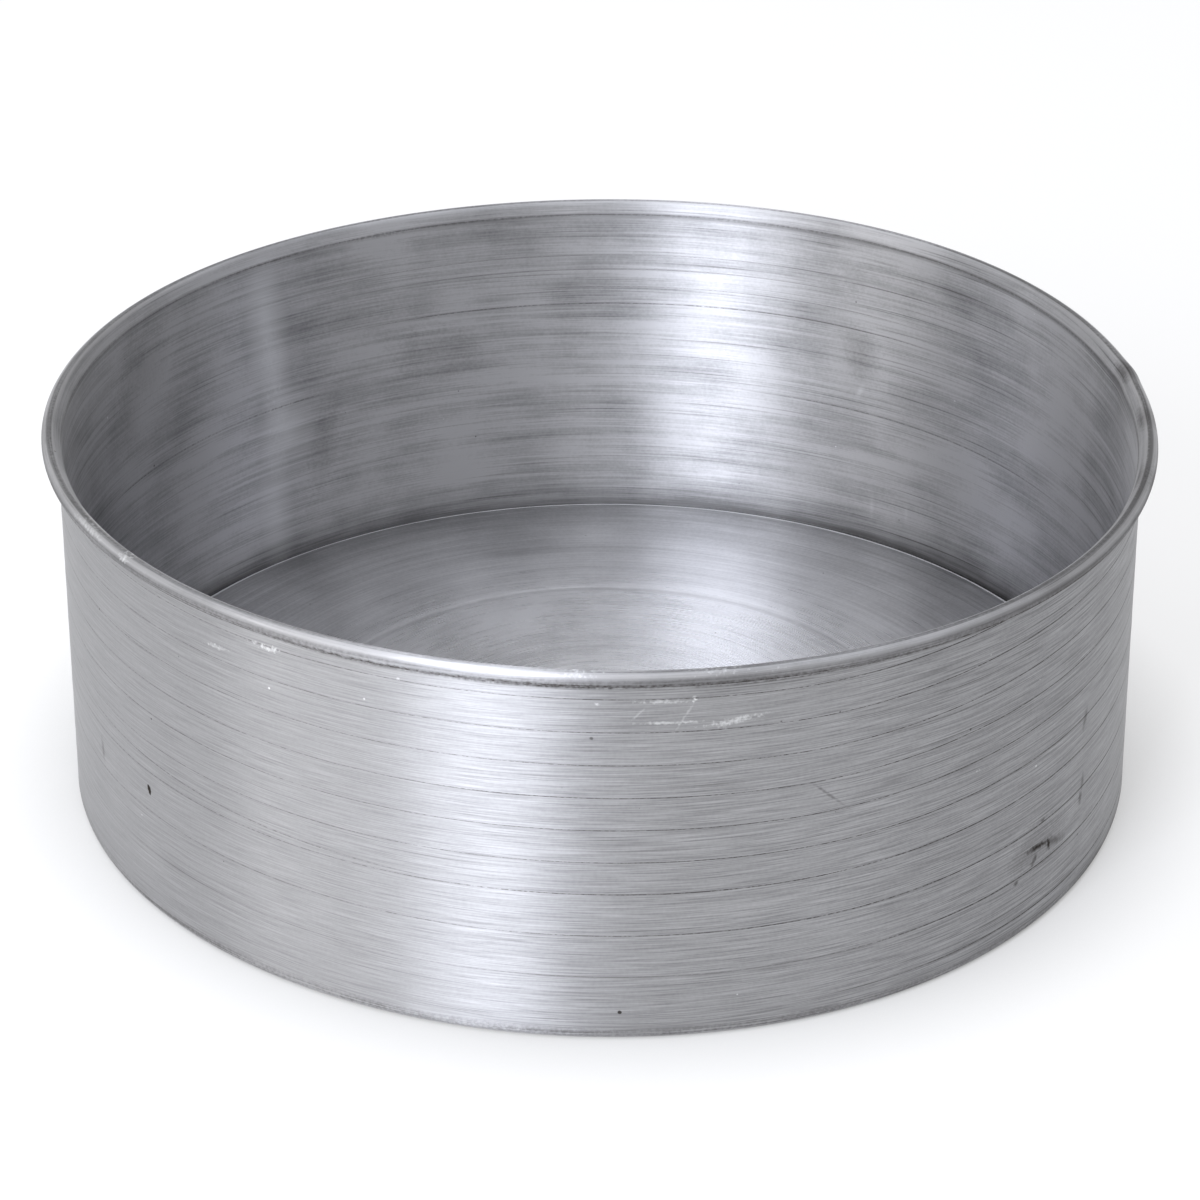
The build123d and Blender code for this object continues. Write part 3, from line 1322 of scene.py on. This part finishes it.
# Each row gives azimuth, height, size up and size round in mm, tilt, strength and softness.
WALL_MARKS = (
    *Mark.group(
        Side.OUTSIDE,
        MarkKind.STAIN,
        (-144.0, 35.5, 3.2, 1.5, 20.0, 1.0, 0.1),
        (-40.5, 23.9, 1.7, 8.5, -6.0, 0.8, 0.5),
        (-37.5, 22.2, 2.0, 8.0, -18.0, 0.4, 0.8),
        (-38.4, 22.2, 3.4, 1.2, 14.0, 0.75, 0.5),
        (-41.0, 20.5, 3.2, 1.5, -38.0, 0.6, 0.7),
        (-40.2, 24.0, 9.0, 15.0, 0.0, 0.24, 0.9),
        (-43.9, 17.2, 1.2, 1.6, 0.0, 0.6, 0.5),
        (-39.9, 31.0, 1.2, 1.6, 0.0, 0.45, 0.5),
        (-31.8, 27.7, 3.2, 1.5, 0.0, 0.55, 0.7),
        (-31.6, 32.0, 3.6, 1.4, 0.0, 0.4, 0.7),
        (-32.0, 51.0, 5.0, 1.6, -15.0, 0.4, 0.6),
        (-155.0, 34.0, 5.0, 1.6, 10.0, 0.3, 0.6),
        (-68.2, 63.0, 11.7, 0.7, 47.0, 0.35, 0.5),
        (-91.0, 82.8, 0.7, 0.7, 0.0, 0.6, 0.4),
        (-88.4, 8.0, 0.9, 0.9, 0.0, 0.9, 0.2),
    ),
    *Mark.group(
        Side.OUTSIDE,
        MarkKind.SCRAPE,
        (-90.5, 91.8, 0.8, 1.6, 0.0, 0.7, 0.5),
        (-84.0, 92.3, 0.8, 12.0, 0.0, 0.6, 0.6),
        (-81.3, 92.6, 1.8, 1.4, -20.0, 1.0, 0.4),
        (-83.5, 86.7, 0.8, 14.0, 0.0, 0.6, 0.6),
        (-77.5, 86.2, 1.8, 12.0, 8.0, 0.75, 0.6),
        (-82.1, 88.8, 8.6, 0.6, -30.0, 0.35, 0.6),
        (-86.5, 89.4, 5.0, 0.6, -46.0, 0.3, 0.6),
        (-109.9, 93.2, 0.9, 1.4, 0.0, 0.8, 0.4),
        (-124.6, 92.6, 1.6, 9.0, 0.0, 0.7, 0.5),
        (-131.5, 87.5, 1.2, 7.0, 6.0, 0.6, 0.5),
        (-50.8, 56.6, 0.9, 1.6, 0.0, 0.8, 0.4),
    ),
    *Mark.group(
        Side.INSIDE,
        MarkKind.SCRAPE,
        (-152.0, 100.8, 1.2, 14.0, 0.0, 0.6, 0.6),
        (-144.0, 100.7, 1.8, 5.0, 0.0, 0.9, 0.5),
        (-92.0, 100.9, 1.2, 9.0, 0.0, 0.8, 0.6),
        (-79.0, 100.9, 1.6, 12.0, 0.0, 0.8, 0.6),
        (-74.5, 100.6, 1.2, 9.0, 0.0, 0.8, 0.6),
        (-67.0, 100.6, 1.4, 8.0, 0.0, 0.7, 0.6),
        (-55.0, 101.0, 1.2, 14.0, 0.0, 0.6, 0.6),
        (-47.5, 100.5, 1.6, 7.0, 0.0, 0.8, 0.6),
        (-41.0, 100.4, 1.4, 8.0, 0.0, 0.8, 0.6),
        (-33.0, 100.2, 1.2, 6.0, 0.0, 0.7, 0.6),
        (57.4, 51.0, 5.0, 1.6, 24.0, 0.4, 0.9),
        (55.4, 15.0, 7.0, 1.2, 0.0, 0.3, 0.9),
        (50.5, 16.0, 6.0, 1.2, 0.0, 0.25, 0.9),
    ),
    *Mark.group(
        Side.INSIDE,
        MarkKind.STAIN,
        (-26.0, 100.0, 1.8, 7.0, 0.0, 0.5, 0.7),
        (-17.0, 100.4, 1.6, 12.0, 0.0, 0.5, 0.7),
        (-3.0, 100.4, 1.8, 10.0, 0.0, 0.45, 0.7),
        (9.0, 100.6, 2.0, 9.0, 0.0, 0.5, 0.7),
        (125.5, 36.0, 17.0, 6.0, 14.0, 0.25, 0.9),
        (57.0, 62.0, 12.0, 8.0, -16.0, 0.25, 0.9),
        (110.0, 58.0, 10.0, 16.0, 0.0, 0.2, 0.9),
        (118.0, 71.0, 6.0, 24.0, 0.0, 0.12, 0.9),
        (154.0, 86.0, 14.0, 18.0, 0.0, 0.2, 0.9),
        (157.5, 74.0, 16.0, 9.0, 0.0, 0.18, 0.9),
        (53.5, 85.5, 7.0, 22.0, 0.0, 0.12, 0.9),
    ),
    # Painted reflections: lighter patches on the inside wall along a reflection streak.
    *Mark.group(
        Side.INSIDE,
        MarkKind.PAINTED_REFLECTION,
        (132.8, 79.0, 26.0, 8.0, 0.0, 0.45, 0.9),
        (131.8, 60.0, 18.0, 6.0, 0.0, 0.3, 0.9),
        (130.8, 45.0, 16.0, 11.0, 0.0, 0.4, 0.9),
        (132.8, 21.0, 28.0, 7.0, 0.0, 0.35, 0.9),
    ),
)


def main() -> None:
    """Builds the tin piece by piece, then the studio."""
    logging.basicConfig(level=logging.INFO, format="%(message)s")
    lathe = Lathe(OutOfRound().counts)
    _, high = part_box("tin_wall")
    sheet = SpunAluminium(
        "spun_aluminium_wall", grooves=FeedGrooves(), scores=WALL_SCORES, marks=WALL_MARKS
    )
    wall = TinWall(lathe, sheet.material(), high[0], high[2])
    base_low, base_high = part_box("loose_base")
    base = LooseBase(
        lathe,
        SpunAluminium(
            "spun_aluminium_base",
            clean="#eeeef0",
            oxide="#949496",
            layers=DISC_LINES,
            patch_inside=0.5,
            mottle_inside=0.25,
            right_grime=0.0,
            scratch_strength=0.15,
            worn_polish=0.0,
            roughness=0.35,
            anisotropy=0.8,
        ).material(),
        base_high[0],
        base_low[2],
        base_high[2],
    )
    wire = RimWire(lathe, DrawnSteel().material(), wall)
    for part in (wall, wire, base):
        piece = part.build()
        LOG.info("%s: %d faces", piece.name, len(piece.data.polygons))
    Studio().build()


if __name__ == "__main__":
    main()
